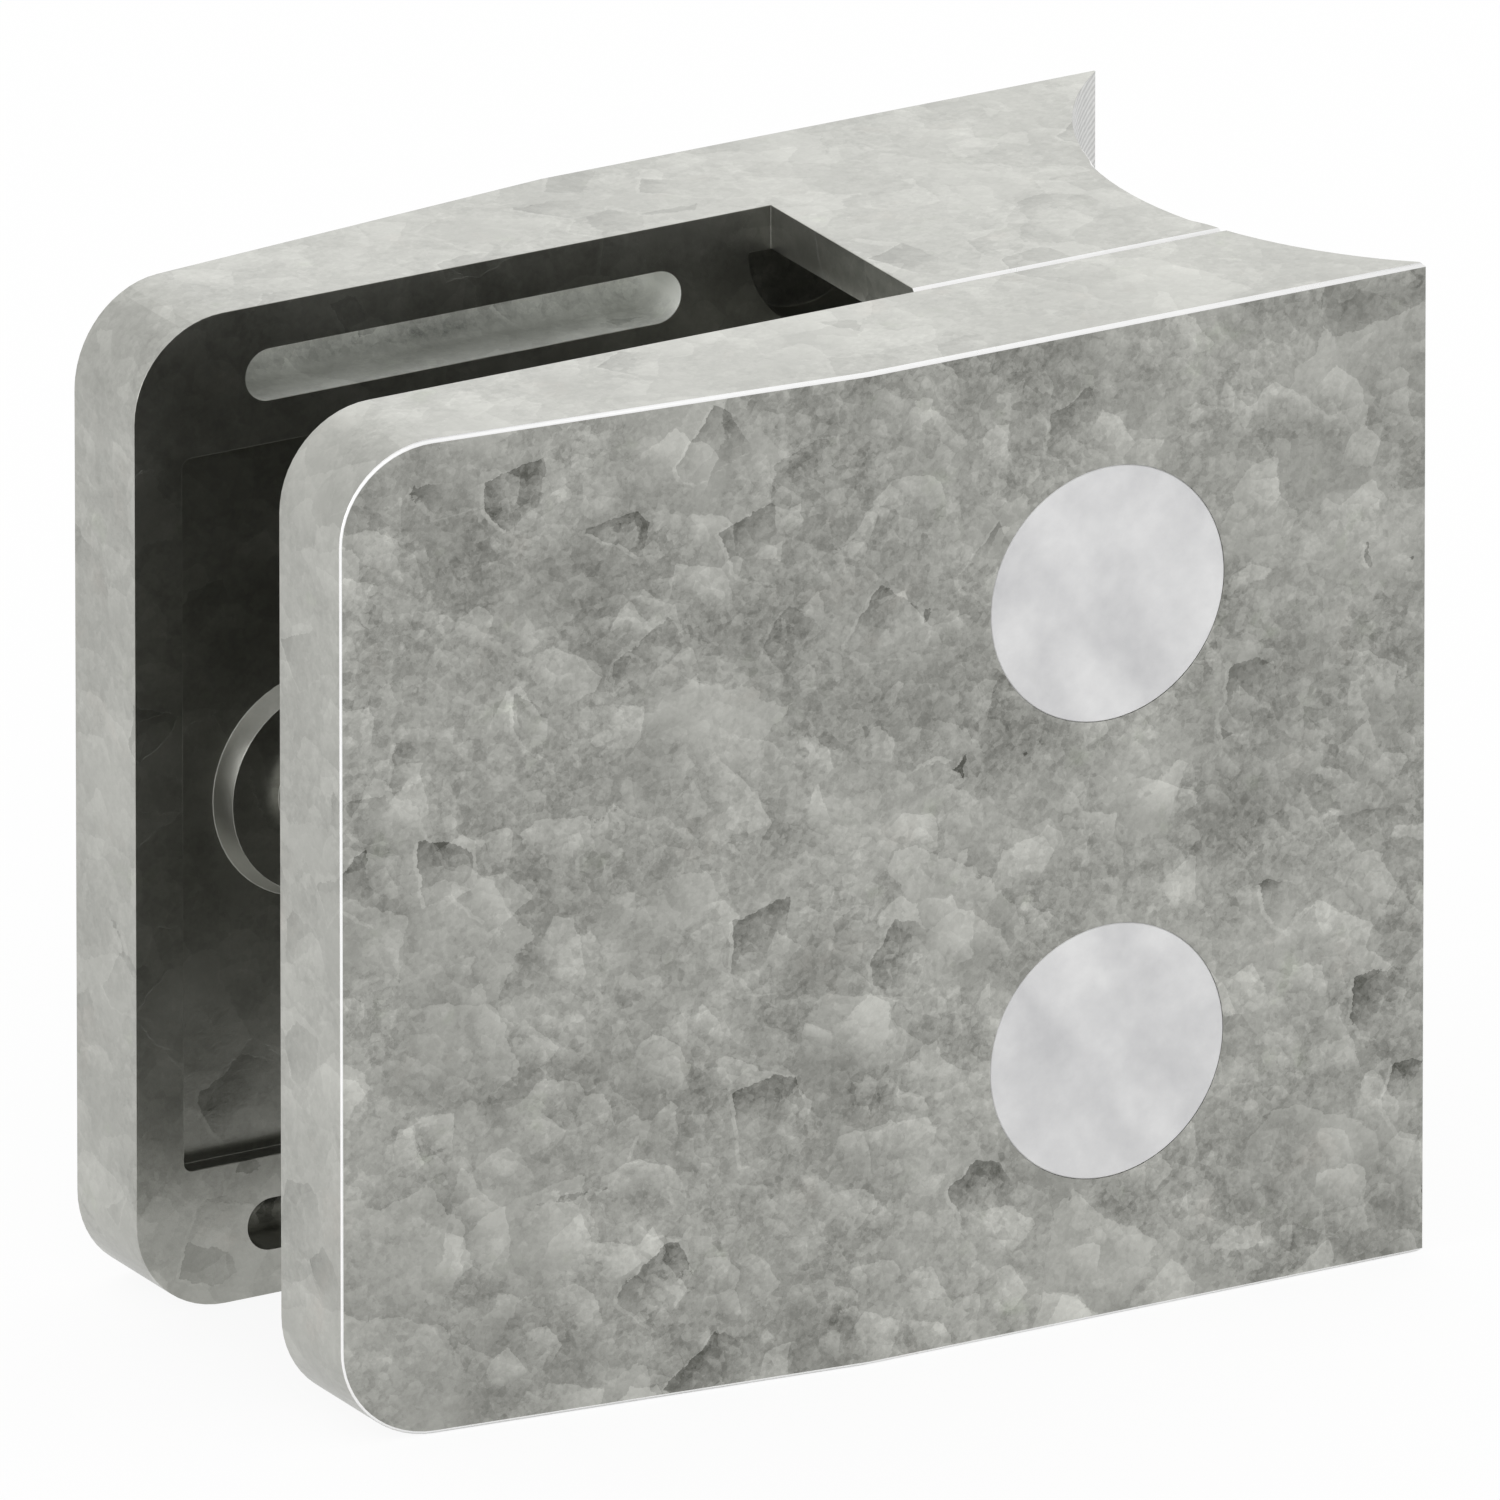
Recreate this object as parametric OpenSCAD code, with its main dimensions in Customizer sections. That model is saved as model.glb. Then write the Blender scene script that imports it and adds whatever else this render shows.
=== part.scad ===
// Glass panel clamp for a round post: two zinc castings drawn together by two socket screws.
// The glass slides into the slot from the rounded tip, and the saddle sits against the post.
// X runs from the tip to the post, Y from the front plate to the back, Z upwards.
// The origin is the centre of the flat underside. All sizes are in millimetres.

/* [Clamp] */
// Height of both castings
clamp_h = 52; // [48:1:80]
// Depth of the glass slot, from the tip to its back wall
slot_depth = 36.1; // [30:0.1:60]
// Length from the slot's back wall to the edges beside the post
web_l = 23.7; // [21:0.1:40]
// Width of the glass slot
slot_w = 14.4; // [12:0.1:19]
// Radius of the two corners at the tip of each jaw
corner_r = 5; // [1:0.5:12]
// Diameter of the round post
tube_d = 42.4; // [38:0.1:70]
// Flat left at the outer edges of the saddle
saddle_land = 0.15; // [0.05:0.05:1]

/* [Jaws] */
// Thickness of each jaw where its faces are parallel
jaw_t = 9; // [8:0.1:12]
// Thickness of each jaw at the tip
tip_t = 6; // [4:0.1:7.8]
// Length of the tapered stretch, from the tip
taper_l = 28.2; // [10:0.1:34]
// Distance from the top or bottom edge to the middle of a pad groove
groove_edge = 3.7; // [2.5:0.1:5]
// Width of a pad groove, which has straight walls and a half-round floor
groove_w = 2.7; // [1.6:0.1:3.6]
// Depth of a pad groove
groove_depth = 3.8; // [2:0.1:4.5]
// Distance from the tip to the start of a pad groove
groove_tip = 6.3; // [5:0.1:12]
// Distance from the end of a pad groove to the slot's back wall
groove_wall = 5.1; // [2:0.1:12]

/* [Pad pocket] */
// Depth of the shallow pocket in each jaw
pocket_depth = 1.1; // [0.5:0.1:2]
// Distance from the top or bottom edge to the pocket
pocket_edge = 7.3; // [6:0.1:10]
// Distance from the tip to the pocket
pocket_tip = 2.7; // [2:0.1:4.5]
// Distance from the pocket to the slot's back wall
pocket_wall = 2.9; // [1:0.1:8]
// Radius of the pocket's corners
pocket_r = 0.5; // [0.2:0.1:4]
// Diameter of the round island that stays level with the jaw face
island_d = 10.8; // [8:0.1:12]
// Spread of the island's sloped side down to the pocket floor, on the radius
island_flare = 0.5; // [0.1:0.1:1]
// Distance from the tip to the middle of the island
island_tip = 10.9; // [9.5:0.1:16]
// Diameter of the spigot on the island
spigot_d = 5.6; // [3:0.1:7]
// Height of the spigot above the jaw face
spigot_h = 0.8; // [0.3:0.1:2]

/* [Back wall of the slot] */
// Height of the lips above and below the recess
lip_h = 2.3; // [1.5:0.1:4]
// Depth of the recess between the lips
recess_depth = 3; // [1:0.1:4]
// Radius of the round pocket under each lip, at the root of the rear jaw
root_r = 4.5; // [3:0.1:5]
// Distance that a root pocket reaches into the slot, past its back wall
root_reach = 1.25; // [0.5:0.05:2]
// Depth of a root pocket behind the face of the rear jaw
root_depth = 3; // [1:0.1:4]
// Diameter of the hole for the screw into the post
fixing_d = 9; // [6:0.1:9.5]

/* [Clamping screws] */
// Distance from the slot's back wall to the screw axes
screw_wall = 5.6; // [5.3:0.1:7]
// Distance from the top or bottom edge to a screw axis
screw_edge = 14; // [10:0.1:15.5]
// Diameter of the screw thread
thread_d = 7.9; // [6:0.1:8]
// Length of a screw under its head
screw_l = 20; // [14:0.5:21]
// Diameter of a screw head
head_d = 12.8; // [11:0.1:13]
// Height of a screw head
head_h = 5; // [4:0.1:5.6]
// Width across the flats of the hex socket
hex_af = 5; // [4:0.1:6]
// Depth of the hex socket
hex_depth = 3.2; // [2.6:0.1:3.8]

/* [Caps] */
// Diameter of a cap
cap_d = 13.2; // [13.1:0.1:15]
// Thickness of a cap's disc
cap_t = 1.4; // [1:0.1:1.8]
// Length of the stem that reaches into the hex socket
stem_l = 2; // [1:0.1:2.4]

/* [Fits] */
// Gap between the thread and its hole, on the radius
thread_gap = 0.05; // [0.02:0.01:0.1]
// Gap between the shank and its hole in the front plate, on the radius
shank_gap = 0.55; // [0.3:0.05:0.8]
// Gap between a cap and its bore, on the radius
cap_gap = 0.05; // [0.02:0.01:0.1]
// Gap between a cap and the screw head under it
seat_gap = 0.1; // [0.05:0.05:0.3]
// Gap between the stem and the flats of the socket
stem_gap = 0.3; // [0.2:0.05:0.6]
// Room behind the end of a screw in its threaded hole
thread_room = 2; // [0.5:0.1:2.5]
// Metal between a screw boss's highest line and the plane of the slot's back wall
boss_land = 0.4; // [0.2:0.1:1]

/* [Hidden] */
$fn = 96;

ZINC = [0.60, 0.61, 0.59];
ZINC_LIGHT = [0.68, 0.69, 0.67];
STEEL = [0.42, 0.43, 0.45];
CAP_GREY = [0.80, 0.80, 0.82];

// How far a cut runs past the surface that it opens
past = 1;

clamp_l = slot_depth + web_l;
clamp_w = slot_w + 2 * jaw_t;
tip_x = -clamp_l / 2;
post_x = clamp_l / 2;
wall_x = tip_x + slot_depth;
mid_z = clamp_h / 2;

// The post's axis lies where its circle meets the two lands of the saddle
tube_r = tube_d / 2;
saddle_half_w = clamp_w / 2 - saddle_land;
tube_x = post_x + sqrt(tube_r * tube_r - saddle_half_w * saddle_half_w);

screw_x = wall_x + screw_wall;
upper_z = clamp_h - screw_edge;
lower_z = screw_edge;
bore_d = cap_d + 2 * cap_gap;
bore_depth = cap_t + seat_gap + head_h;
front_y = -clamp_w / 2;
parting_y = -slot_w / 2;
seat_y = front_y + bore_depth;
boss_d = 2 * (screw_wall + boss_land);
thread_hole_d = thread_d + 2 * thread_gap;
thread_hole_end_y = seat_y + screw_l + thread_room;
stem_d = hex_af - 2 * stem_gap;

// A round bar along Y, from y0 to y1
module bar_y(d, y0, y1) {
    translate([0, y1, 0]) rotate([90, 0, 0]) cylinder(d = d, h = y1 - y0);
}

// Outline of both castings seen from the front: square at the post, rounded at the tip
module side_outline() {
    translate([tip_x + corner_r, 0]) square([clamp_l - corner_r, clamp_h]);
    translate([tip_x, corner_r]) square([clamp_l, clamp_h - 2 * corner_r]);
    for (z = [corner_r, clamp_h - corner_r]) translate([tip_x + corner_r, z]) circle(corner_r);
}

// A plan outline raised to full height, with rounded tip corners and the saddle cut away
module casting() {
    difference() {
        intersection() {
            linear_extrude(clamp_h) children();
            translate([0, clamp_w / 2, 0]) rotate([90, 0, 0]) linear_extrude(clamp_w) side_outline();
        }
        translate([tube_x, 0, -past]) cylinder(d = tube_d, h = clamp_h + 2 * past, $fn = 180);
    }
}

// A groove cutter along X: straight walls down from Y = 0, round ends and a half-round floor
module groove_cutter(x0, x1) {
    r = groove_w / 2;
    floor_y = groove_depth - r;
    translate([0, floor_y, 0]) rotate([90, 0, 0]) linear_extrude(floor_y + past) {
        translate([x0 + r, -r]) square([x1 - x0 - groove_w, groove_w]);
        for (x = [x0 + r, x1 - r]) translate([x, 0]) circle(r, $fn = 48);
    }
    translate([x0, floor_y, 0]) rotate([0, 90, 0]) rotate_extrude() intersection() {
        square([r, x1 - x0]);
        union() {
            translate([0, r]) square([r, x1 - x0 - groove_w]);
            translate([0, r]) circle(r, $fn = 48);
            translate([0, x1 - x0 - r]) circle(r, $fn = 48);
        }
    }
}

// What is sunk into the inner face of a jaw: two grooves, and the pocket round the island.
// The jaw face lies at Y = 0 and the metal behind it at positive Y.
module jaw_sinks() {
    for (z = [groove_edge, clamp_h - groove_edge]) {
        translate([0, 0, z]) groove_cutter(tip_x + groove_tip, wall_x - groove_wall);
    }
    difference() {
        translate([0, pocket_depth, 0]) rotate([90, 0, 0]) linear_extrude(pocket_depth + past)
            pocket_outline();
        translate([tip_x + island_tip, 0, mid_z]) island();
    }
}

// The island on the axis X = 0, Z = 0, wider at its foot, running past both faces of the pocket
module island() {
    foot_d = island_d + 2 * island_flare;
    end_d = foot_d + 2 * island_flare * past / pocket_depth;
    bar_y(island_d, -2 * past, 0);
    translate([0, pocket_depth + past, 0]) rotate([90, 0, 0])
        cylinder(d1 = end_d, d2 = island_d, h = pocket_depth + past);
}

// Outline of the pad pocket, with round corners
module pocket_outline() {
    x0 = tip_x + pocket_tip;
    x1 = wall_x - pocket_wall;
    z0 = pocket_edge;
    z1 = clamp_h - pocket_edge;
    translate([x0 + pocket_r, z0]) square([x1 - x0 - 2 * pocket_r, z1 - z0]);
    translate([x0, z0 + pocket_r]) square([x1 - x0, z1 - z0 - 2 * pocket_r]);
    for (x = [x0 + pocket_r, x1 - pocket_r]) {
        for (z = [z0 + pocket_r, z1 - pocket_r]) translate([x, z]) circle(pocket_r, $fn = 48);
    }
}

// The spigot that stands on the island of a jaw whose face lies at Y = 0
module spigot() {
    translate([tip_x + island_tip, 0, mid_z]) bar_y(spigot_d, -spigot_h, pocket_depth);
}

// The recess between the two lips of the slot's back wall, with the screw bosses left standing
module wall_recess() {
    difference() {
        union() {
            translate([wall_x - past, parting_y - past, lip_h])
                cube([recess_depth + past, slot_w + past, clamp_h - 2 * lip_h]);
            root_pockets();
        }
        for (z = [lower_z, upper_z]) {
            translate([screw_x, 0, z])
                bar_y(boss_d, parting_y - 2 * past, slot_w / 2 + root_depth + past);
        }
    }
}

// Round pockets under the lips, drawn from the parting face on into the root of the rear jaw
module root_pockets() {
    intersection() {
        for (z = [lip_h, clamp_h - lip_h]) {
            translate([wall_x - root_reach + root_r, 0, z])
                bar_y(2 * root_r, parting_y - past, slot_w / 2 + root_depth);
        }
        translate([tip_x, -clamp_w, lip_h]) cube([clamp_l, 2 * clamp_w, clamp_h - 2 * lip_h]);
    }
}

// Plan of the rear casting: jaw with a tapered back and the web beside the post
module body_plan() {
    polygon([
        [tip_x, slot_w / 2],
        [wall_x, slot_w / 2],
        [wall_x, parting_y],
        [post_x, parting_y],
        [post_x, clamp_w / 2],
        [tip_x + taper_l, clamp_w / 2],
        [tip_x, slot_w / 2 + tip_t]
    ]);
}

// Plan of the front casting: a flat jaw with a tapered front
module plate_plan() {
    polygon([
        [tip_x, parting_y],
        [tip_x, parting_y - tip_t],
        [tip_x + taper_l, front_y],
        [post_x, front_y],
        [post_x, parting_y]
    ]);
}

// Rear casting
module clamp_body() {
    color(ZINC) {
        difference() {
            casting() body_plan();
            translate([0, slot_w / 2, 0]) jaw_sinks();
            wall_recess();
            for (z = [lower_z, upper_z]) {
                translate([screw_x, 0, z]) bar_y(thread_hole_d, parting_y - past, thread_hole_end_y);
            }
            translate([wall_x, 0, mid_z]) rotate([0, 90, 0]) cylinder(d = fixing_d, h = web_l);
        }
        translate([0, slot_w / 2, 0]) spigot();
    }
}

// Front casting, bored for the screw heads and their caps
module front_plate() {
    color(ZINC_LIGHT) {
        difference() {
            casting() plate_plan();
            translate([0, parting_y, 0]) mirror([0, 1, 0]) jaw_sinks();
            for (z = [lower_z, upper_z]) {
                translate([screw_x, 0, z]) bar_y(bore_d, front_y - past, seat_y);
                translate([screw_x, 0, z]) bar_y(thread_d + 2 * shank_gap, seat_y - past, parting_y + past);
            }
        }
        translate([0, parting_y, 0]) mirror([0, 1, 0]) spigot();
    }
}

// Low-head socket screw on the axis X = 0, Z = 0, in its real place along Y
module screw() {
    color(STEEL) difference() {
        union() {
            bar_y(head_d, seat_y - head_h, seat_y);
            bar_y(thread_d, seat_y - head_h / 2, seat_y + screw_l);
        }
        translate([0, seat_y - head_h + hex_depth, 0]) rotate([90, 0, 0])
            cylinder(d = hex_af / cos(30), h = hex_depth + past, $fn = 6);
    }
}

// Flush cap with a short stem, on the axis X = 0, Z = 0
module cap() {
    color(CAP_GREY) {
        bar_y(cap_d, front_y, front_y + cap_t);
        bar_y(stem_d, front_y + cap_t / 2, front_y + cap_t + stem_l);
    }
}

module upper_screw() {
    translate([screw_x, 0, upper_z]) screw();
}

module lower_screw() {
    translate([screw_x, 0, lower_z]) screw();
}

module upper_cap() {
    translate([screw_x, 0, upper_z]) cap();
}

module lower_cap() {
    translate([screw_x, 0, lower_z]) cap();
}

clamp_body();
front_plate();
upper_screw();
lower_screw();
upper_cap();
lower_cap();
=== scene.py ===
import math

import bmesh
import bpy
import numpy as np
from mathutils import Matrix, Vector


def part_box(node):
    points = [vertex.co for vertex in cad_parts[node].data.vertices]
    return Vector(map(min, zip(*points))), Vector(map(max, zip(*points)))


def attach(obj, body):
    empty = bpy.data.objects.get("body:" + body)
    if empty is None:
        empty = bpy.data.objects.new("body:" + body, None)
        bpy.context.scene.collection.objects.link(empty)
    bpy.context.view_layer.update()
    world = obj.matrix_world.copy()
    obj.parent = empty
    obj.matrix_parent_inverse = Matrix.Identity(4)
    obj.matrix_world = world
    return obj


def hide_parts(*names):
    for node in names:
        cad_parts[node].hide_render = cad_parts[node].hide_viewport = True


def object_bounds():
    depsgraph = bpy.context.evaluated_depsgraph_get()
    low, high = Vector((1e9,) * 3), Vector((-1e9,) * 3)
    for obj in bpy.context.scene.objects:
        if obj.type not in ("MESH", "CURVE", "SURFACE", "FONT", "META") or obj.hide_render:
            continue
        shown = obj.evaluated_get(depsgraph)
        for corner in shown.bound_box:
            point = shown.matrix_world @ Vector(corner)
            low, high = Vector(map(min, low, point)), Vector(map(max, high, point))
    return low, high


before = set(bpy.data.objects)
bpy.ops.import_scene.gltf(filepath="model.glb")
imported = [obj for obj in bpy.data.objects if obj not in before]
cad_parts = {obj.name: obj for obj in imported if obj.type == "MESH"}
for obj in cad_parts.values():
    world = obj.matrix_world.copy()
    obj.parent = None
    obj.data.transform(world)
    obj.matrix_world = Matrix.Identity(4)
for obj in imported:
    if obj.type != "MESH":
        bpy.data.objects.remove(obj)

cad_low, cad_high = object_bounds()

# ---------------------------------------------------------------------------
# The rear casting: rear jaw, web and saddle in one piece of zinc alloy, left as it comes
# out of the die. Its skin is mottled with dull crystal flakes. The saddle is milled, and the
# outer edges carry a painted bright highlight.
# ---------------------------------------------------------------------------
EDGE = 0.00008  # the rounding of most edges
FINE = 0.00003  # the rounding of crisp edges
RIM = 0.0002  # the flat chamfer along the outline, which carries a painted bright highlight
PARTING = 0.0005  # the flat chamfer on top where the front casting meets this one
FILLET = 0.00035  # the width at which a rounded edge has its full bevel weight
EDGE_SEGMENTS = 3
SHARP_ANGLE = math.radians(30)
FLAT_ANGLE = math.radians(0.4)
MERGE_DISTANCE = 1e-7
TOUCH = 1e-5
NEAR = 1e-4

POST_RADIUS = 0.0212
SADDLE_LAND = 0.00015  # the flat beside the saddle, at the outer edges
SADDLE_RIM_END = 0.006  # the saddle's rim is chamfered and painted with a bright highlight from the parting up to here
WALL_X = 0.0062  # the back wall of the slot
JAW_ROOM = 0.0045  # deeper than any groove in the face of the rear jaw
POCKET_ROOM = 0.003  # deeper than the pad pocket
ISLAND_FROM_TIP = 0.0163
ISLAND_REACH = 0.0062  # a little more than the island and its sloped side
GROOVE_MIDDLE_X = -0.011
GROOVE_Z = 0.04695
GROOVE_HALF_LENGTH = 0.015
GROOVE_HALF_WIDTH = 0.003
GROOVE_START = 0.0005

# How strongly each layer of the zinc's skin shows in its shade
CLOUD_SHADE = 1.3
MOTTLE_SHADE = 1.15
GRIT_SHADE = 0.38
LARGE_FLAKE_SHADE = 0.32
SMALL_FLAKE_SHADE = 0.36
TINY_FLAKE_SHADE = 0.18
# painted shade inside the dents, and below it a painted highlight on the ledge beside each
DENT_PAINTED_SHADE = 0.6
LEDGE_HIGHLIGHT = 0.2
MIDDLE_SHADE = 0.55
# painted shade: how much darker the broad faces are painted than the sides and the top
BROAD_PAINTED_SHADE = 0.14
SIDE_CONTRAST = 0.26
BROAD_CONTRAST = 0.29  # so much more than on the sides
# painted light: how fast the colour grows paler with height above the given height
PAINTED_LIGHT_PER_METRE = 450.0
FLAKE_LEAN = (0.5, -0.2, 0.7)
DENT_LEAN = (-0.3, 0.1, 0.7)
RAGGED_SCALE = 1.7  # how much finer than the flakes the noise is that makes them ragged
LIT_SOFTNESS = 0.12
FLAKE_FADE = (-0.4, 0.5)  # from where to where a flake brightens, in flakes
VERDIGRIS = (0.93, 1.03, 0.86)
VERDIGRIS_SHARE = 0.30
BLUSH = (1.04, 0.97, 0.95)
BLUSH_SHARE = 0.40
HALF = (0.5, 0.5, 0.5)
MILL_PITCH = 0.00035
MILL_SLANT = math.radians(-12)


class Wire:
    """An output socket of a material node. Arithmetic on it adds Math nodes to the same tree."""

    def __init__(self, socket):
        self.socket = socket

    def node(self, kind, settings, values, out=0):
        """Adds a node of that kind to this wire's tree and returns one of its outputs.
        The settings come first. Then each socket gets its plain value or its link."""
        tree = self.socket.id_data
        made = tree.nodes.new("ShaderNode" + kind)
        for name, value in settings.items():
            setattr(made, name, value)
        for name, value in values.items():
            if isinstance(value, Wire):
                tree.links.new(value.socket, made.inputs[name])
            else:
                made.inputs[name].default_value = value
        return Wire(made.outputs[out])

    def maths(self, operation, *values):
        """The operation on this wire and the other values."""
        return self.node("Math", {"operation": operation}, dict(enumerate((self, *values))))

    def __add__(self, other):
        return self.maths("ADD", other)

    __radd__ = __add__

    def __sub__(self, other):
        return self.maths("SUBTRACT", other)

    def __rsub__(self, other):
        return self.maths("MULTIPLY_ADD", -1.0, other)

    def __mul__(self, other):
        return self.maths("MULTIPLY", other)

    __rmul__ = __mul__

    def ramp(self, low, high):
        """0 below low, 1 above high and a smooth rise between them."""
        settings = {"interpolation_type": "SMOOTHSTEP"}
        return self.node("MapRange", settings, {"Value": self, "From Min": low, "From Max": high})

    def vector(self, operation, other=None, out=0):
        """The vector operation on this wire and, if it takes one, the other value."""
        slot = "Scale" if operation == "SCALE" else 1
        values = {0: self} if other is None else {0: self, slot: other}
        return self.node("VectorMath", {"operation": operation}, values, out)

    def channel(self, name):
        """Red, Green or Blue of this colour."""
        return self.node("SeparateColor", {}, {"Color": self}, name)

    def along(self, axis):
        """X, Y or Z of this vector."""
        return self.node("SeparateXYZ", {}, {"Vector": self}, axis)

    def shade_between(self, low, high):
        """The colour between low and high that this wire picks, low at 0 and high at 1."""
        values = {0: self, 6: (*low, 1), 7: (*high, 1)}
        return self.node("Mix", {"data_type": "RGBA"}, values, 2)

    def mixed(self, factor, other):
        """This colour turned into the other one by the factor."""
        settings = {"data_type": "RGBA", "clamp_factor": True}
        return self.node("Mix", settings, {0: factor, 6: self, 7: other}, 2)

    def bumped(self, strength, distance):
        """The surface's normal, tilted by this wire as a height."""
        values = {"Strength": strength, "Distance": distance, "Height": self}
        return self.node("Bump", {}, values, "Normal")


def new_surface(name):
    """A new material: its shader node, and a wire for the Object coordinates."""
    material = bpy.data.materials.new(name)
    material.use_nodes = True
    shader = material.node_tree.nodes["Principled BSDF"]
    place = material.node_tree.nodes.new("ShaderNodeTexCoord")
    return material, shader, Wire(place.outputs["Object"])


def plug(shader, values):
    """Sets the shader's sockets to plain values, or links them to wires."""
    for name, value in values.items():
        if isinstance(value, Wire):
            shader.id_data.links.new(value.socket, shader.inputs[name])
        else:
            shader.inputs[name].default_value = value


def noise(place, per_metre, detail, rough=0.5):
    """Cloudy noise about 0, from -0.5 to 0.5, with that many blobs to the metre."""
    values = {"Vector": place, "Scale": per_metre, "Detail": detail, "Roughness": rough}
    return place.node("TexNoise", {}, values, "Fac") - 0.5


def pushed(place, per_metre, far, shift=(0.0, 0.0, 0.0)):
    """The place moved about by a noise, by about `far` metres, which makes borders ragged."""
    moved = place.vector("ADD", shift)
    stir = {"Vector": moved, "Scale": per_metre, "Detail": 5.0, "Roughness": 0.65}
    push = place.node("TexNoise", {}, stir, "Color").vector("SUBTRACT", HALF)
    return moved.vector("ADD", push.vector("SCALE", 2.0 * far))


def flakes(place, per_metre, shift, ragged, lean, share):
    """Crystal flakes: a share of the cells is lit, more and more along the lean up to the rim,
    where it drops at once, so a flake is crisp on that side and fades on the other.
    The second wire is 1 all over a lit flake."""
    moved = pushed(place, per_metre * RAGGED_SCALE, ragged / per_metre / 2, shift)
    values = {"Vector": moved, "Scale": per_metre, "Randomness": 1.0}
    colour = moved.node("TexVoronoi", {"feature": "F1"}, values, "Color")
    offset = moved.vector("SUBTRACT", Wire(colour.socket.node.outputs["Position"]))
    own_lean = colour.vector("SUBTRACT", HALF).vector("ADD", lean).vector("NORMALIZE")
    along = offset.vector("DOT_PRODUCT", own_lean, "Value")
    lit = colour.channel("Green").ramp(1.0 - share, 1.0 - share + LIT_SOFTNESS)
    return (along * per_metre).ramp(*FLAKE_FADE) * lit, lit


def grains(moved, per_metre):
    """A mosaic of small grains, each of one shade, from -0.5 to 0.5."""
    values = {"Vector": moved, "Scale": per_metre, "Randomness": 1.0}
    return moved.node("TexVoronoi", {"feature": "F1"}, values, "Color").channel("Red") - 0.5


def zinc_surface(name, low, high, metal, roughness, bump, contrast=1.0, painted_light_above=None):
    """Raw zinc: a grey from low to high by its clouds, its flakes and its grain, which are
    strong on the broad faces and weak on the narrow sides, where the die draws along them.
    The broad faces are painted darker than the sides and the top, a painted shade. Above the
    given height it is painted paler and below it darker, a painted light."""
    material, shader, place = new_surface(name)
    facing = Wire(place.socket.node.outputs["Normal"]).along("Y")
    broad = facing.maths("ABSOLUTE").ramp(0.35, 0.85)

    clouds = noise(place, per_metre=150.0, detail=2.5, rough=0.6)
    mottle = noise(place, per_metre=620.0, detail=7.0, rough=0.9)
    calm = noise(place, per_metre=260.0, detail=2.0)
    stirred = pushed(place, per_metre=1600.0, far=0.0002)
    grit = grains(stirred, per_metre=2100.0) * 0.6 + grains(stirred, per_metre=4800.0) * 0.5
    large, in_large = flakes(place, 170.0, (0.3, 0.1, 0.7), ragged=0.4, lean=FLAKE_LEAN, share=0.36)
    small, _ = flakes(place, 420.0, (0.9, 0.4, 0.2), ragged=0.35, lean=FLAKE_LEAN, share=0.4)
    tiny, _ = flakes(place, 950.0, (0.1, 0.7, 0.4), ragged=0.35, lean=FLAKE_LEAN, share=0.5)
    dent = {"per_metre": 330.0, "ragged": 0.35, "lean": DENT_LEAN, "share": 0.17}
    dents, in_dents = flakes(place, shift=(0.6, 0.2, 0.9), **dent)
    # A painted highlight: a thin band along one side of each dent, as if its ledge caught the
    # light.
    _, beside_dents = flakes(place, shift=(0.60022, 0.2, 0.90008), **dent)
    lit_ledge = (beside_dents - in_dents).maths("MAXIMUM", 0.0)

    uneven = 1.15 - in_large * 0.35 + calm * 1.6
    shade = clouds * CLOUD_SHADE + (mottle * MOTTLE_SHADE + grit * GRIT_SHADE) * uneven
    shade = shade + tiny * uneven * TINY_FLAKE_SHADE + large * LARGE_FLAKE_SHADE
    # The dents get painted shade, and their ledges a painted highlight.
    shade = shade + small * SMALL_FLAKE_SHADE - dents * DENT_PAINTED_SHADE + lit_ledge * LEDGE_HIGHLIGHT
    shade = shade * (broad * BROAD_CONTRAST + SIDE_CONTRAST) * contrast
    # Painted shade: the broad faces are painted darker than the narrow sides and the top.
    shade = shade - broad * BROAD_PAINTED_SHADE + MIDDLE_SHADE
    # Painted light: paler above the given height and darker below it.
    if painted_light_above is not None:
        shade = shade + (place.along("Z") - painted_light_above) * PAINTED_LIGHT_PER_METRE
    grey = shade.shade_between(low, high)
    greened = noise(place, per_metre=330.0, detail=3.0, rough=0.6).ramp(0.12, 0.30)
    elsewhere = place.vector("ADD", (0.2, 0.5, 0.3))
    blushed = noise(elsewhere, per_metre=210.0, detail=3.0, rough=0.6).ramp(0.10, 0.30)
    tinted = grey.mixed(greened * VERDIGRIS_SHARE, grey.vector("MULTIPLY", VERDIGRIS))
    tinted = tinted.mixed(blushed * BLUSH_SHARE, grey.vector("MULTIPLY", BLUSH))

    relief = (mottle * 0.6 + large * 2.0 - dents * 2.0) * (broad * 0.3 + 0.15)
    plug(shader, {
        "Base Color": tinted,
        "Metallic": metal,
        "Roughness": roughness + clouds * 0.12 + mottle * 0.1,
        "Normal": relief.bumped(bump, 0.0002),
    })
    return material


def milled_surface(name, grey):
    """Milled zinc: fine slanting tool marks, a sine wave of the pitch, over the dull grey."""
    material, shader, place = new_surface(name)
    slanted = place.node("Mapping", {}, {"Vector": place, "Rotation": (MILL_SLANT, 0.0, 0.0)})
    height = slanted.along("Z") + noise(place, per_metre=900.0, detail=3.0) * 0.0002
    marks = (height * (2 * math.pi / MILL_PITCH)).maths("SINE")
    drawn_out = slanted.vector("MULTIPLY", (1.0, 0.08, 1.0))
    streaks = noise(drawn_out, per_metre=2500.0, detail=4.0, rough=0.7)
    mottle = noise(place, per_metre=420.0, detail=5.0, rough=0.7)
    shade = 1.0 + marks * 0.15 + streaks * 0.4 + mottle * 0.3
    relief = marks * 0.5 + streaks * 1.2
    plug(shader, {
        "Base Color": shade.node("VectorMath", {"operation": "SCALE"}, {0: grey, "Scale": shade}),
        "Metallic": 1.0,
        "Roughness": 0.42 + mottle * 0.1,
        "Normal": relief.bumped(0.25, 0.00005),
    })
    return material


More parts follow.
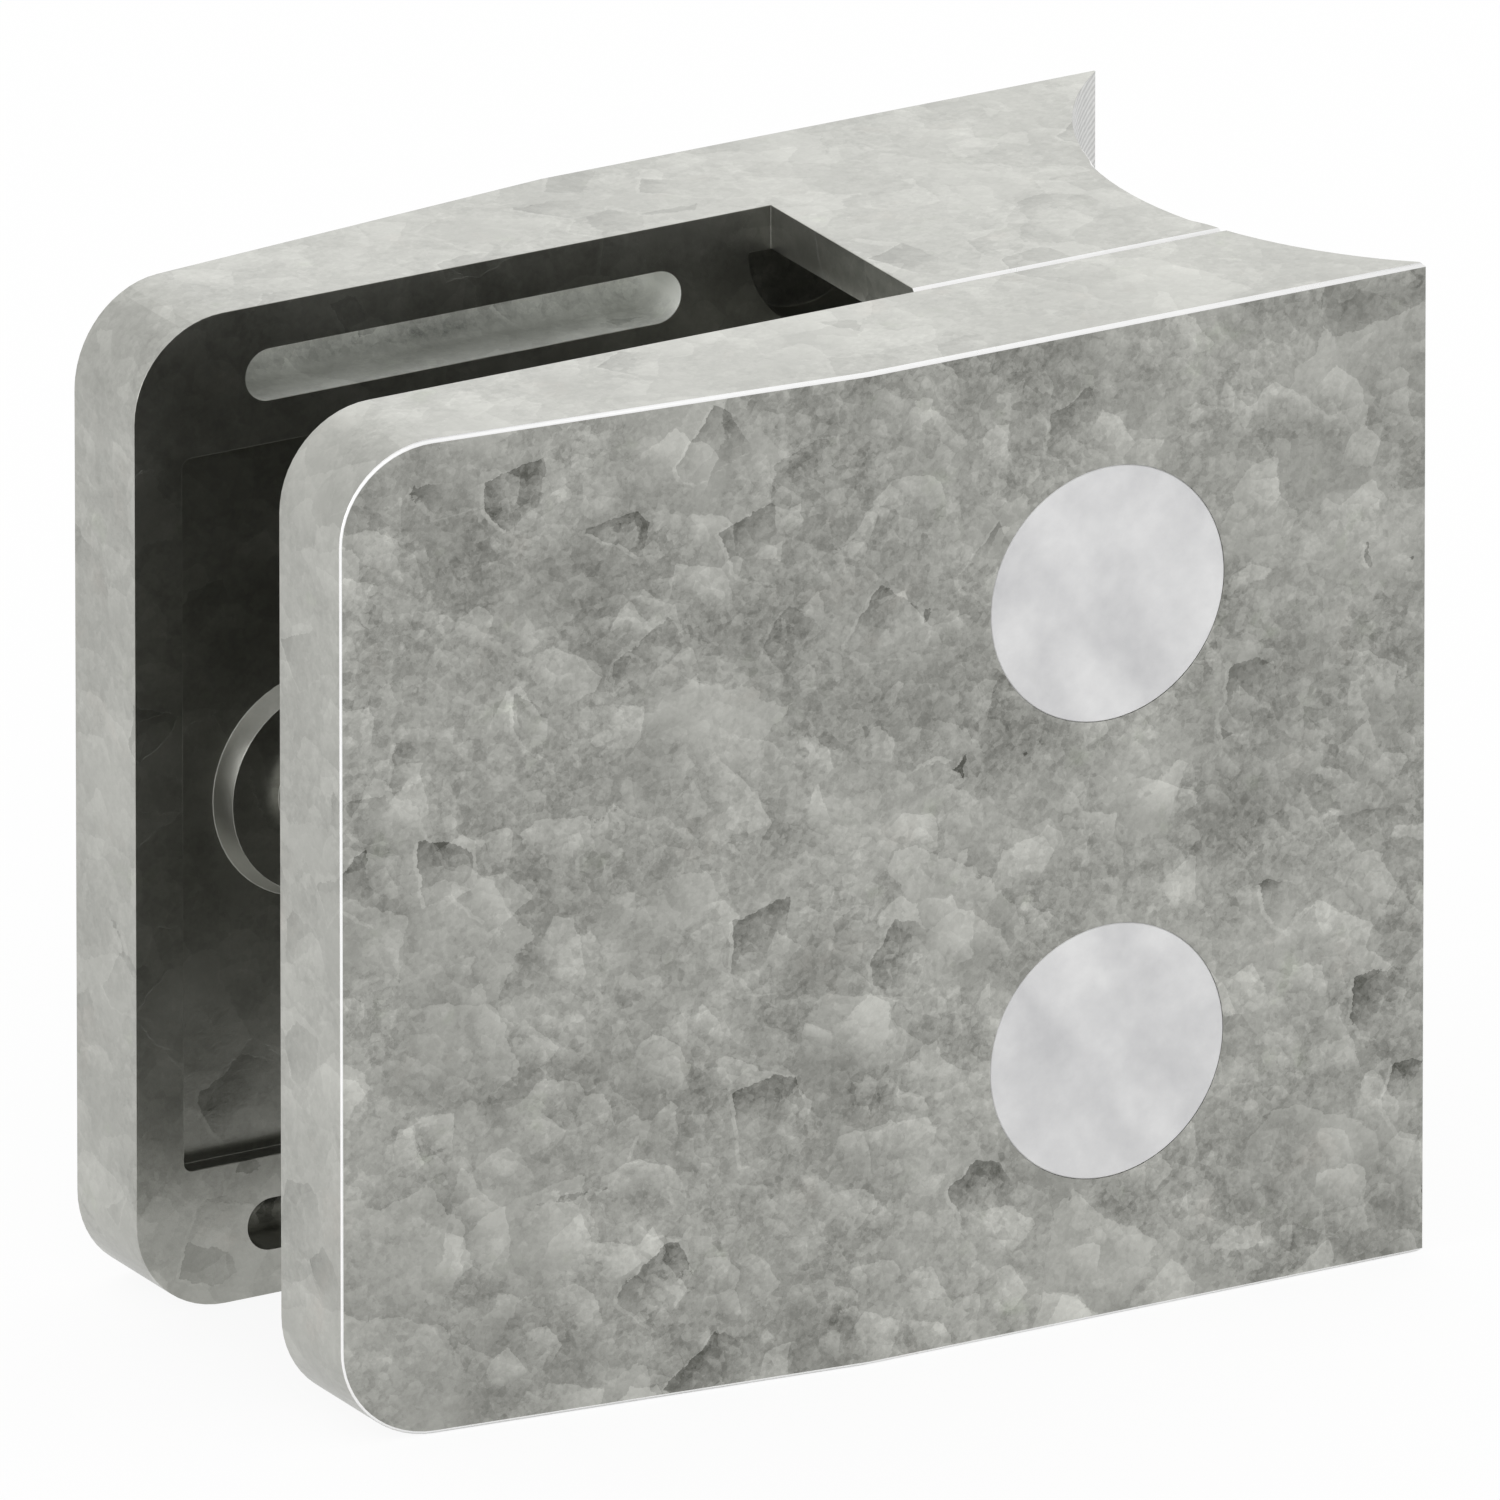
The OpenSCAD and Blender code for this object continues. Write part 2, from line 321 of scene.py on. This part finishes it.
def new_piece(name, mesh):
    """An object at the origin that shows the mesh."""
    piece = bpy.data.objects.new(name, mesh)
    bpy.context.scene.collection.objects.link(piece)
    return piece


def one_mesh(node, name):
    """A copy of a CAD node as one closed mesh: doubled points merged, flat faces joined up."""
    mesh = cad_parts[node].data.copy()
    mesh.name = name
    work = bmesh.new()
    work.from_mesh(mesh)
    bmesh.ops.remove_doubles(work, verts=work.verts, dist=MERGE_DISTANCE)
    bmesh.ops.dissolve_limit(work, angle_limit=FLAT_ANGLE, verts=work.verts, edges=work.edges)
    work.to_mesh(mesh)
    work.free()
    mesh.materials.clear()
    return new_piece(name, mesh)


def break_edges(piece, width_of, slot=1):
    """Breaks every sharp edge of a piece. width_of(low, high, normals, hollow) gives the width
    for the edge between those corners, with its two faces' normals, hollow where it is concave,
    and whether it is a flat chamfer; the others are rounded.
    The new faces get that material slot."""
    work = bmesh.new()
    work.from_mesh(piece.data)
    flat = work.edges.layers.float.new("rim_weight")
    soft = work.edges.layers.float.new("edge_weight")
    for edge in work.edges:
        if len(edge.link_faces) == 2 and edge.calc_face_angle() > SHARP_ANGLE:
            ends = [vert.co for vert in edge.verts]
            low = Vector(map(min, *ends))
            high = Vector(map(max, *ends))
            normals = [face.normal for face in edge.link_faces]
            width, chamfered = width_of(low, high, normals, not edge.is_convex)
            if chamfered:
                edge[flat] = width / PARTING
            else:
                edge[soft] = width / FILLET
    work.to_mesh(piece.data)
    work.free()
    for layer, width, segments in (
            ("rim_weight", PARTING, 1), ("edge_weight", FILLET, EDGE_SEGMENTS)):
        bevel = piece.modifiers.new(layer, "BEVEL")
        bevel.limit_method = "WEIGHT"
        bevel.edge_weight = layer
        bevel.width = width
        bevel.segments = segments
        bevel.material = slot
        bevel.harden_normals = True
        bevel.use_clamp_overlap = segments > 1
    piece.data.shade_smooth()
    piece.data.set_sharp_from_angle(angle=SHARP_ANGLE)
    graph = bpy.context.evaluated_depsgraph_get()
    evaluated = piece.evaluated_get(graph)
    finished = bpy.data.meshes.new_from_object(evaluated, depsgraph=graph)
    piece.modifiers.clear()
    finished.name = piece.name
    piece.data = finished


def paint(piece, rule):
    """Sets each face's material slot. rule(x, y, z, nx, ny, nz, broken) takes arrays of the
    faces' centres and normals, and whether they belong to a broken edge."""
    mesh = piece.data
    count = len(mesh.polygons)
    slots = np.empty(count, np.int32)
    centres = np.empty(count * 3, np.float32)
    normals = np.empty(count * 3, np.float32)
    mesh.polygons.foreach_get("material_index", slots)
    mesh.polygons.foreach_get("center", centres)
    mesh.polygons.foreach_get("normal", normals)
    slots = rule(*centres.reshape(-1, 3).T, *normals.reshape(-1, 3).T, slots == 1)
    mesh.polygons.foreach_set("material_index", slots.astype(np.int32))
    mesh.update()


raw_zinc = zinc_surface(
    "raw_zinc", (0.10, 0.101, 0.089), (0.66, 0.662, 0.62),
    metal=1.0, roughness=0.33, bump=0.5)
slot_zinc = zinc_surface(
    "slot_zinc", (0.10, 0.102, 0.086), (0.73, 0.732, 0.685),
    metal=1.0, roughness=0.33, bump=0.3, contrast=0.4)
# A painted highlight: near-white zinc on the chamfered rims, standing in for light glancing off the
# edges.
painted_highlight_zinc = zinc_surface(
    "painted_highlight_zinc", (0.92, 0.92, 0.915), (0.98, 0.98, 0.975),
    metal=0.4, roughness=0.30, bump=0.1)
# Painted light: pale zinc in the upper groove and on the island's sloped side, painted paler
# towards the top.
painted_light_zinc = zinc_surface(
    "painted_light_zinc", (0.085, 0.09, 0.08), (0.86, 0.875, 0.83),
    metal=0.1, roughness=0.5, bump=0.4, painted_light_above=GROOVE_Z)
milled_zinc = milled_surface("milled_zinc", (0.62, 0.622, 0.61))
casting_finishes = (raw_zinc, painted_highlight_zinc, milled_zinc, painted_light_zinc, slot_zinc)
RAW, PAINTED_HIGHLIGHT, MILLED, PAINTED_LIGHT, SLOT = range(5)

body_low, body_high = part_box("clamp_body")
parting = body_low.y
jaw_face = -parting
island_x = body_low.x + ISLAND_FROM_TIP
post_x = cad_high.x + math.sqrt(POST_RADIUS ** 2 - (cad_high.y - SADDLE_LAND) ** 2)


def on_saddle(x, y):
    """Whether a place lies on the saddle's round face, or beside it by less than a rim."""
    return abs(np.hypot(x - post_x, y) - POST_RADIUS) < 1.5 * RIM


def along_saddle(low, high):
    """Whether the edge between those corners runs along the saddle."""
    return on_saddle(low.x, low.y) and on_saddle(high.x, high.y)


def on_end(low, high):
    """Whether the edge between those corners lies in the top or the bottom of the castings."""
    return low.z > body_high.z - TOUCH or high.z < body_low.z + TOUCH


def body_width(low, high, normals, hollow):
    """The widths of the rear casting's edges, and whether they are flat chamfers."""
    if along_saddle(low, high):
        # These rims get the flat chamfer that is painted with a bright highlight.
        highlighted_rim = on_end(low, high) and high.y < SADDLE_RIM_END
        return (RIM, True) if highlighted_rim else (FINE, False)
    if on_end(low, high) and high.y < parting + TOUCH:
        return PARTING, True
    in_slot = high.x < WALL_X + NEAR and high.y < jaw_face + JAW_ROOM
    return (FINE if in_slot else EDGE), False


def body_slots(x, y, z, nx, ny, nz, broken):
    """The finish of each face of the rear casting: a painted bright highlight on the rims on top,
    milled in the saddle, painted pale light in the upper groove and round the island, and
    smoother inside the slot."""
    near_saddle = on_saddle(x, y)
    saddle = near_saddle & (nx > 0.5) & ~broken
    joint_rim = (y < parting + PARTING) & (x > WALL_X)
    saddle_rim = near_saddle & (y < SADDLE_RIM_END)
    rim = broken & (nz > 0.3) & (saddle_rim | joint_rim)
    inner = (ny < -0.3) & (x < WALL_X) & (y < jaw_face + POCKET_ROOM)
    from_island = np.hypot(x - island_x, z - body_high.z / 2)
    flank = inner & (from_island < ISLAND_REACH) & (ny > -0.97)
    groove = (y > jaw_face + GROOVE_START) & (abs(z - GROOVE_Z) < GROOVE_HALF_WIDTH)
    groove = groove & (abs(x - GROOVE_MIDDLE_X) < GROOVE_HALF_LENGTH)
    return np.select([rim, saddle, groove | flank, inner], [PAINTED_HIGHLIGHT, MILLED, PAINTED_LIGHT, SLOT], RAW)


body = one_mesh("clamp_body", "clamp_body_casting")
for material in casting_finishes:
    body.data.materials.append(material)
break_edges(body, body_width)
paint(body, body_slots)
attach(body, "body")
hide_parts("clamp_body")

# ---------------------------------------------------------------------------
# The front casting, of the same zinc, which the two screws draw against the body. The rim
# of its front face carries a painted bright highlight all round.
# ---------------------------------------------------------------------------
BORE_ROOM = 0.00005
FRONT_DEPTH = 0.005  # how far its front face lies before the parting face, at least

cap_low, cap_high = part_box("upper_cap")
lower_cap_low, lower_cap_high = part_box("lower_cap")
screw_x = (cap_low.x + cap_high.x) / 2
upper_z = (cap_low.z + cap_high.z) / 2
lower_z = (lower_cap_low.z + lower_cap_high.z) / 2
bore_radius = (cap_high.x - cap_low.x) / 2 + BORE_ROOM


def at_bore(x, z):
    """Whether a place lies at the wall of one of the cap bores."""
    near = np.minimum(np.hypot(x - screw_x, z - upper_z), np.hypot(x - screw_x, z - lower_z))
    return near < bore_radius + 3 * RIM


def plate_width(low, high, normals, hollow):
    """The widths of the front casting's edges, and whether they are flat chamfers. The front
    rim narrows with the lean of its side to the left, to a half."""
    if at_bore(low.x, low.z) and low.x > 0:
        return FINE, False
    if along_saddle(low, high):
        return (RIM, True) if on_end(low, high) else (FINE, False)
    if min(normal.y for normal in normals) < -0.9 and not hollow:
        leftward = max(-normal.x for normal in normals)
        return RIM * (1.0 - 0.5 * max(leftward, 0.0)), True
    return (FINE if high.x < WALL_X + NEAR else EDGE), False


def plate_slots(x, y, z, nx, ny, nz, broken):
    """The finish of each face of the front casting: a painted bright highlight on the rim of its
    front and on top of the saddle, milled in the saddle, and smoother inside the slot."""
    near_saddle = on_saddle(x, y)
    saddle = near_saddle & (nx > 0.5) & ~broken
    front = (ny < -0.15) & (y < parting - FRONT_DEPTH) & ~at_bore(x, z)
    rim = broken & (front | (near_saddle & (nz > 0.3)))
    inner = (ny > 0.3) & (x < WALL_X)
    return np.select([rim, saddle, inner], [PAINTED_HIGHLIGHT, MILLED, SLOT], RAW)


plate = one_mesh("front_plate", "front_plate_casting")
for material in casting_finishes:
    plate.data.materials.append(material)
break_edges(plate, plate_width)
paint(plate, plate_slots)
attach(plate, "plate")
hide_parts("front_plate")

# ---------------------------------------------------------------------------
# The two clamping screws: M8 socket head screws of bright steel. Each turns in the front
# casting under its cap and pulls it to the body. The thread is rolled, and the socket is
# cold formed.
# ---------------------------------------------------------------------------
PITCH = 0.00125
CREST_RADIUS = 0.00395
ROOT_RADIUS = 0.00335
RIDGE_STEEPNESS = 1.25
ROOT_FLAT = 0.12
HEAD_LENGTH = 0.005
SHANK_SUNK = 0.0003  # how far the shank reaches into the head
TIP_CHAMFER = 0.0002
THREAD_AROUND = 72
THREAD_ROWS_PER_PITCH = 16


def outward(mesh):
    """Turns every face outward, and smooths all but the sharp edges."""
    work = bmesh.new()
    work.from_mesh(mesh)
    bmesh.ops.recalc_face_normals(work, faces=work.faces)
    work.to_mesh(mesh)
    work.free()
    mesh.shade_smooth()
    mesh.set_sharp_from_angle(angle=SHARP_ANGLE)


def circles(radii, depths, x, z):
    """Points of rings around an axis along Y through (x, z): x + radius cos(angle), the depth,
    z + radius sin(angle). There is one row of radii, over a full turn, for each depth."""
    angles = np.linspace(0, 2 * math.pi, radii.shape[1], endpoint=False)
    grid = np.empty((*radii.shape, 3))
    grid[..., 0] = x + radii * np.cos(angles)
    grid[..., 1] = np.asarray(depths)[:, None]
    grid[..., 2] = z + radii * np.sin(angles)
    return grid.reshape(-1, 3)


def bands(row, next_row, around):
    """The faces between rings that start at the points row and next_row. The last face of a
    band goes back to its ring's first point, which closes the seam."""
    start = np.arange(around)
    after = (start + 1) % around
    quads = [row + start, row + after, next_row + after, next_row + start]
    return np.stack(quads, -1).reshape(-1, 4).tolist()


def revolved(name, radii, depths, x, z, around):
    """A closed body around an axis along Y through (x, z). radii and depths are the profile's
    points, or arrays of one row of radii for each depth. A point on the axis at each end, and
    a row of triangles, closes the poles."""
    rings = len(depths)
    radii = np.broadcast_to(np.asarray(radii, float).reshape(rings, -1), (rings, around))
    points = np.vstack([circles(radii, depths, x, z), (x, depths[0], z), (x, depths[-1], z)])
    row = np.arange(rings - 1)[:, None] * around
    start = np.arange(around)
    after = (start + 1) % around
    first_pole = np.stack([np.full(around, rings * around), after, start], -1)
    last = (rings - 1) * around
    last_pole = np.stack([np.full(around, rings * around + 1), last + start, last + after], -1)
    mesh = bpy.data.meshes.new(name)
    faces = bands(row, row + around, around) + first_pole.tolist() + last_pole.tolist()
    mesh.from_pydata(points, [], faces)
    outward(mesh)
    return new_piece(name, mesh)


def lined(name, radii, depths, x, z):
    """A closed ring around an axis along Y through (x, z), whose cross-section is the loop of
    the rows of radii at their depths."""
    rings, around = radii.shape
    row = np.arange(rings)[:, None] * around
    next_row = (np.arange(rings)[:, None] + 1) % rings * around
    mesh = bpy.data.meshes.new(name)
    mesh.from_pydata(circles(radii, depths, x, z), [], bands(row, next_row, around))
    outward(mesh)
    return new_piece(name, mesh)


def thread_rows(start, end):
    """The depths of a thread's rings, evenly spaced from start to end."""
    return np.linspace(start, end, round((end - start) / PITCH * THREAD_ROWS_PER_PITCH))


def thread_radii(depths):
    """The radius of a right-hand thread at each depth and angle. It rises and falls between
    root and crest in a straight-sided wave of one pitch, which turns once round the axis for
    each pitch along it, and crest and root each have a narrow flat."""
    turns = np.linspace(0, 1, THREAD_AROUND, endpoint=False)
    phase = (-depths[:, None] / PITCH - turns) % 1.0
    ridge = np.clip(RIDGE_STEEPNESS * abs(2 * phase - 1) - ROOT_FLAT, 0, 1)
    return ROOT_RADIUS + (CREST_RADIUS - ROOT_RADIUS) * ridge


def steel_surface(name):
    """Bright steel with a fine turned grain around the screw's axis and a few dull stains."""
    material, shader, place = new_surface(name)
    stains = noise(place, per_metre=260.0, detail=4.0, rough=0.6)
    turned = place.vector("MULTIPLY", (0.2, 1.0, 0.2))
    grain = noise(turned, per_metre=5200.0, detail=3.0, rough=0.6)
    pits = noise(place, per_metre=1900.0, detail=5.0, rough=0.7)
    shade = 0.5 + stains * 0.9 + grain * 0.35 + pits * 0.3
    relief = grain * 0.8 + pits * 0.5
    plug(shader, {
        "Base Color": shade.shade_between((0.40, 0.40, 0.41), (0.68, 0.68, 0.69)),
        "Metallic": 1.0,
        "Roughness": 0.30 + stains * 0.25 + grain * 0.1,
        "Normal": relief.bumped(0.25, 0.00005),
    })
    return material


screw_steel = steel_surface("screw_steel")
screw_low, screw_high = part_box("upper_screw")
seat_y = screw_low.y + HEAD_LENGTH


def screw_width(low, high, normals, hollow):
    """The widths of a screw head's edges, all rounded, and widest on the side of the cap."""
    return (EDGE if hollow or low.y > seat_y - TOUCH else 2 * EDGE), False


for node, z, body_name in (
        ("upper_screw", upper_z, "screw_top"), ("lower_screw", lower_z, "screw_bottom")):
    head = one_mesh(node, node + "_head")
    head.data.materials.append(screw_steel)
    work = bmesh.new()
    work.from_mesh(head.data)
    behind_seat = [face for face in work.faces if face.calc_center_median().y > seat_y + TOUCH]
    bmesh.ops.delete(work, geom=behind_seat, context="FACES")
    bmesh.ops.holes_fill(work, edges=[edge for edge in work.edges if edge.is_boundary])
    bmesh.ops.recalc_face_normals(work, faces=work.faces)
    work.to_mesh(head.data)
    work.free()
    break_edges(head, screw_width, slot=0)

    depths = thread_rows(seat_y - SHANK_SUNK, screw_high.y)
    tip = ROOT_RADIUS - TIP_CHAMFER + (screw_high.y - depths)[:, None]
    radii = np.minimum(thread_radii(depths), tip)
    shank = revolved(node + "_shank", radii, depths, screw_x, z, THREAD_AROUND)
    shank.data.materials.append(screw_steel)
    for piece in (head, shank):
        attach(piece, body_name)
        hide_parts(node)

# ---------------------------------------------------------------------------
# The threads cut in the body for the two screws. Each is the thin lining of its hole, whose
# ridges stand in the grooves of the screw with a little room.
# ---------------------------------------------------------------------------
THREAD_ROOM = 0.00008
LINING_OUTER = 0.0043
THREAD_INSET = 0.0004
THREAD_END = 0.0123
ENTRY_CHAMFER = 0.0009

for name, z in (("upper_thread", upper_z), ("lower_thread", lower_z)):
    depths = thread_rows(parting + THREAD_INSET, THREAD_END)
    entry = ROOT_RADIUS + ENTRY_CHAMFER - (depths - depths[0])[:, None]
    ridges = np.maximum(thread_radii(depths) + THREAD_ROOM, entry)
    wall = np.full((1, THREAD_AROUND), LINING_OUTER)
    rows = np.vstack([wall, ridges, wall])
    lining = lined(name, rows, np.concatenate([depths[:1], depths, depths[-1:]]), screw_x, z)
    lining.data.materials.append(raw_zinc)
    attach(lining, "body")

# ---------------------------------------------------------------------------
# The two caps: pale grey plastic discs, moulded with a stem that is pressed into the
# socket of the screw. They lie flush with the front and hide the screws.
# ---------------------------------------------------------------------------
CAP_DISC = 0.0014
CAP_CHAMFER = 0.00006
CAP_FIT = 0.00004  # how much the disc fills of the gap round it
CAP_AROUND = 128
STEM_RADIUS = 0.0022
POLISH_SLANT = math.radians(35)


def cap_surface(name):
    """Satin plastic with soft bands where it was polished across, and a fine grain."""
    material, shader, place = new_surface(name)
    slanted = place.node("Mapping", {}, {"Vector": place, "Rotation": (0.0, POLISH_SLANT, 0.0)})
    drawn_out = slanted.vector("MULTIPLY", (1.0, 1.0, 0.25))
    polish = noise(drawn_out, per_metre=320.0, detail=2.0)
    blotches = noise(place, per_metre=420.0, detail=4.0, rough=0.6)
    grain = noise(place, per_metre=6000.0, detail=2.0)
    shade = 0.5 + polish * 1.5 + blotches * 1.3 + grain * 0.1
    plug(shader, {
        "Base Color": shade.shade_between((0.62, 0.62, 0.63), (0.86, 0.86, 0.86)),
        "Roughness": 0.38 + polish * 0.2,
        "Normal": (grain + blotches).bumped(0.15, 0.00005),
    })
    return material


cap_grey = cap_surface("cap_grey")
for node, z, body_name in (("upper_cap", upper_z, "cap_top"), ("lower_cap", lower_z, "cap_bottom")):
    low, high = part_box(node)
    radius = (high.x - low.x) / 2 + CAP_FIT
    disc_back = low.y + CAP_DISC
    profile = (
        (radius - CAP_CHAMFER, low.y),
        (radius, low.y + CAP_CHAMFER),
        (radius, disc_back - CAP_CHAMFER),
        (radius - CAP_CHAMFER, disc_back),
        (STEM_RADIUS, disc_back),
        (STEM_RADIUS, high.y - 2 * CAP_CHAMFER),
        (STEM_RADIUS - 2 * CAP_CHAMFER, high.y),
    )
    cap = revolved(node + "_disc", *zip(*profile), screw_x, z, CAP_AROUND)
    cap.data.materials.append(cap_grey)
    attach(cap, body_name)
    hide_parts(node)

# ---------------------------------------------------------------------------
# The camera. It stands to the left of the clamp's front, twenty degrees above the floor, and
# far away behind a very long lens, so that parallel edges stay nearly parallel.
# ---------------------------------------------------------------------------
VIEW_AZIMUTH = -30.02
VIEW_ELEVATION = 20.33
LENS_MM = 1650.0
SENSOR_MM = 36.0
CLIP_END = 40.0
FIELD_WIDTH = 0.07396  # the width that the camera takes in at the clamp
AIM_RIGHT = 0.00074  # how far the aim lies beside the middle of the clamp
AIM_UP = 0.000746


def towards(azimuth, elevation):
    """A level unit vector turned by the azimuth, from 0 in front (-Y) to 90 on the right (+X),
    and raised by the elevation, both in degrees."""
    a, e = math.radians(azimuth), math.radians(elevation)
    return Vector((math.sin(a) * math.cos(e), -math.cos(a) * math.cos(e), math.sin(e)))


def stand(name, data, aim, direction, distance):
    """A camera or a lamp at that distance from the aim in that direction, looking at it."""
    stood = bpy.data.objects.new(name, data)
    stood.location = aim + direction * distance
    stood.rotation_mode = "QUATERNION"
    stood.rotation_quaternion = (-direction).to_track_quat("-Z", "Y")
    bpy.context.scene.collection.objects.link(stood)
    return stood


middle = (cad_low + cad_high) / 2
to_camera = towards(VIEW_AZIMUTH, VIEW_ELEVATION)
view_right = towards(VIEW_AZIMUTH + 90, 0)
view_up = to_camera.cross(view_right)
aim = middle + AIM_RIGHT * view_right + AIM_UP * view_up

camera_data = bpy.data.cameras.new("camera")
camera_data.lens = LENS_MM
camera_data.sensor_width = SENSOR_MM
camera_data.clip_end = CLIP_END
camera = stand("camera", camera_data, aim, to_camera, FIELD_WIDTH * LENS_MM / SENSOR_MM)
bpy.context.scene.camera = camera

# ---------------------------------------------------------------------------
# The floor and the white room: a pale matt floor that keeps the clamp's shadow, white to the
# camera and in reflections, and three soft lamps round the clamp.
# ---------------------------------------------------------------------------
FLOOR_HALF = 3.0
FLOOR_GAP = 0.00005
FLOOR_GLOW = 1.04
FLOOR_SEEN = 0.86  # how much of the glow the camera sees
FLOOR_MIRRORED = 0.78  # how much of the glow is mirrored
ROOM_FILL = 0.8
ROOM_WALL = 1.0
LAMP_DISTANCE = 1.0

floor_mesh = bpy.data.meshes.new("floor")
floor_corners = [(-1, -1), (1, -1), (1, 1), (-1, 1)]
floor_mesh.from_pydata(
    [(x * FLOOR_HALF, y * FLOOR_HALF, -FLOOR_GAP) for x, y in floor_corners],
    [], [(0, 1, 2, 3)])
floor = new_piece("floor", floor_mesh)

floor_paint, shader, place = new_surface("pale_floor")
plug(shader, {"Base Color": (0.8, 0.8, 0.8, 1), "Roughness": 0.9, "Specular IOR Level": 0.1})
seen = place.node("LightPath", {}, {}, "Is Camera Ray")
mirrored = place.node("LightPath", {}, {}, "Is Glossy Ray")
glow = place.node("Emission", {}, {"Color": (1, 1, 1, 1), "Strength": FLOOR_GLOW})
white = seen * FLOOR_SEEN + mirrored * FLOOR_MIRRORED
mixed = place.node("MixShader", {}, {0: white, 1: Wire(shader.outputs[0]), 2: glow})
output = floor_paint.node_tree.nodes["Material Output"]
floor_paint.node_tree.links.new(mixed.socket, output.inputs["Surface"])
floor_mesh.materials.append(floor_paint)

world = bpy.data.worlds.new("white_room")
bpy.context.scene.world = world
world.use_nodes = True
fill = world.node_tree.nodes["Background"]
fill.inputs["Color"].default_value = (1, 1, 1, 1)
fill.inputs["Strength"].default_value = ROOM_FILL
rays = world.node_tree.nodes.new("ShaderNodeLightPath")
direct = Wire(rays.outputs["Is Camera Ray"]) + Wire(rays.outputs["Is Glossy Ray"])
direct = direct + Wire(rays.outputs["Is Transmission Ray"])
wall = direct.node("Background", {}, {"Color": (1, 1, 1, 1), "Strength": ROOM_WALL})
both = direct.node("MixShader", {}, {0: direct, 1: Wire(fill.outputs[0]), 2: wall})
world.node_tree.links.new(both.socket, world.node_tree.nodes["World Output"].inputs["Surface"])


def softbox(name, azimuth, elevation, size, power):
    """A square lamp that looks at the clamp."""
    data = bpy.data.lights.new(name, "AREA")
    data.shape = "SQUARE"
    data.size = size
    data.energy = power
    stand(name, data, middle, towards(azimuth, elevation), LAMP_DISTANCE)


softbox("back_softbox", azimuth=150.0, elevation=22.0, size=0.9, power=0.9)
softbox("left_softbox", azimuth=-82.0, elevation=12.0, size=0.6, power=3.0)
softbox("front_softbox", azimuth=-20.0, elevation=24.0, size=0.6, power=0.9)

bpy.context.scene.view_settings.view_transform = "Standard"
